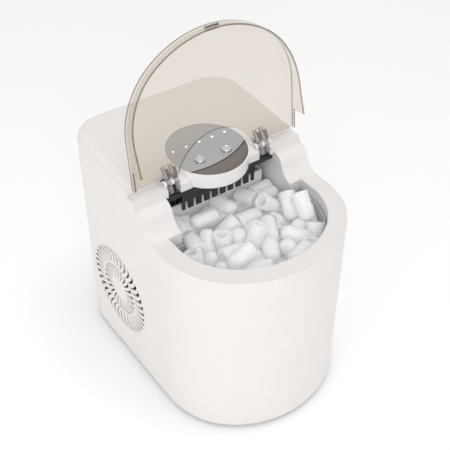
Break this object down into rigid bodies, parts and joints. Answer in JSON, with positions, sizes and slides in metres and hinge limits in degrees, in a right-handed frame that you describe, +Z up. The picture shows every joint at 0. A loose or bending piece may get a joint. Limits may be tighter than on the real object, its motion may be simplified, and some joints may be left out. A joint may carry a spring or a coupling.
{
  "type": "countertop ice maker",
  "caption": "Countertop ice maker with a curved front, a tinted lid that folds back, a round control console and an open ice bin.",
  "frame": {"origin": "on the surface that the machine stands on, under the middle of its outline", "axes": "+X to the machine's right as seen from its front, +Y to its back, +Z up"},
  "size_m": [0.225, 0.309, 0.4391],
  "materials": {
    "shell_white": "satin moulded plastic",
    "cover_white": "satin moulded plastic",
    "base_grey": "fine texture",
    "liner_grey": "smooth",
    "basket_clear": "translucent",
    "lid_smoke": "tinted clear plastic",
    "steel": "plain",
    "drum_white": "gloss",
    "plate_silver": "silver paint",
    "lens_dark": "gloss smoked",
    "button_silver": "silver paint",
    "led_white": "diffuse",
    "board_green": "solder mask",
    "nickel": "plated",
    "copper": "drawn tube",
    "compressor_black": "satin",
    "fin_aluminium": "plain",
    "black_plastic": "fine texture",
    "rubber_grey": "matt",
    "foam": "foam",
    "hose_clear": "translucent"
  },
  "bodies": {
    "cabinet": {"outer_shell": "shell_white", "rear_panel": "shell_white", "top_cover": "cover_white", "base_tray": "base_grey", "feet": "rubber_grey", "base_screws": "steel", "side_grille": "shell_white", "bin_liner": "liner_grey", "insulation": "foam", "hinge_pins": "steel", "console_drum": "drum_white", "console_plate": "plate_silver", "console_lens": "lens_dark", "led_lenses": "led_white", "control_board": "board_green", "evaporator": "nickel", "tray_motor": "black_plastic", "shovel_pins": "steel", "ice_sensor": "black_plastic", "compressor": "compressor_black", "compressor_grommets": "rubber_grey", "condenser": "fin_aluminium", "fan_frame": "black_plastic", "fan_motor": "black_plastic", "water_pump": "black_plastic", "water_hose": "hose_clear", "suction_line": "copper", "filter_drier": "copper", "power_board": "board_green", "rear_screws": "steel", "drain_spout": "drum_white", "cord_gland": "black_plastic"},
    "lid": {"lid": "lid_smoke"},
    "basket": {"ice_basket": "basket_clear"},
    "power_button": {"power_button": "button_silver"},
    "select_button": {"select_button": "button_silver"},
    "tray": {"water_tray": "basket_clear"},
    "shovel": {"ice_shovel": "black_plastic"},
    "fan": {"fan_rotor": "black_plastic"},
    "drain_cap": {"drain_cap": "shell_white"}
  },
  "joints": [
    {"name": "lid_hinge", "type": "hinge", "parent": "cabinet", "child": "lid", "pos_m": [0, 0.0041, 0.277], "axis": [-1, 0, 0], "range_deg": [-106.2, 0]},
    {"name": "basket_lift", "type": "slide", "parent": "cabinet", "child": "basket", "axis": [0, 0, 1], "range_m": [0, 0.16]},
    {"name": "power_press", "type": "slide", "parent": "cabinet", "child": "power_button", "axis": [0, 0.0698, -0.9976], "range_m": [0, 0.0008], "stiffness_N_per_m": 600, "springref_m": -0.0008},
    {"name": "select_press", "type": "slide", "parent": "cabinet", "child": "select_button", "axis": [0, 0.0698, -0.9976], "range_m": [0, 0.0008], "stiffness_N_per_m": 600, "springref_m": -0.0008},
    {"name": "tray_tilt", "type": "hinge", "parent": "cabinet", "child": "tray", "pos_m": [0, 0.046, 0.2355], "axis": [1, 0, 0], "range_deg": [0, 68]},
    {"name": "shovel_sweep", "type": "hinge", "parent": "cabinet", "child": "shovel", "pos_m": [0, 0.003, 0.2565], "axis": [-1, 0, 0], "range_deg": [0, 34.1]},
    {"name": "fan_spin", "type": "hinge", "parent": "cabinet", "child": "fan", "pos_m": [0, 0.0546, 0.1046], "axis": [1, 0, 0], "continuous": true},
    {"name": "drain_pull", "type": "slide", "parent": "cabinet", "child": "drain_cap", "axis": [1, 0, 0], "range_m": [0, 0.03]}
  ],
  "couplings": [
    {"joint": "shovel_sweep", "follows": "tray_tilt", "ratio": 0.5}
  ]
}
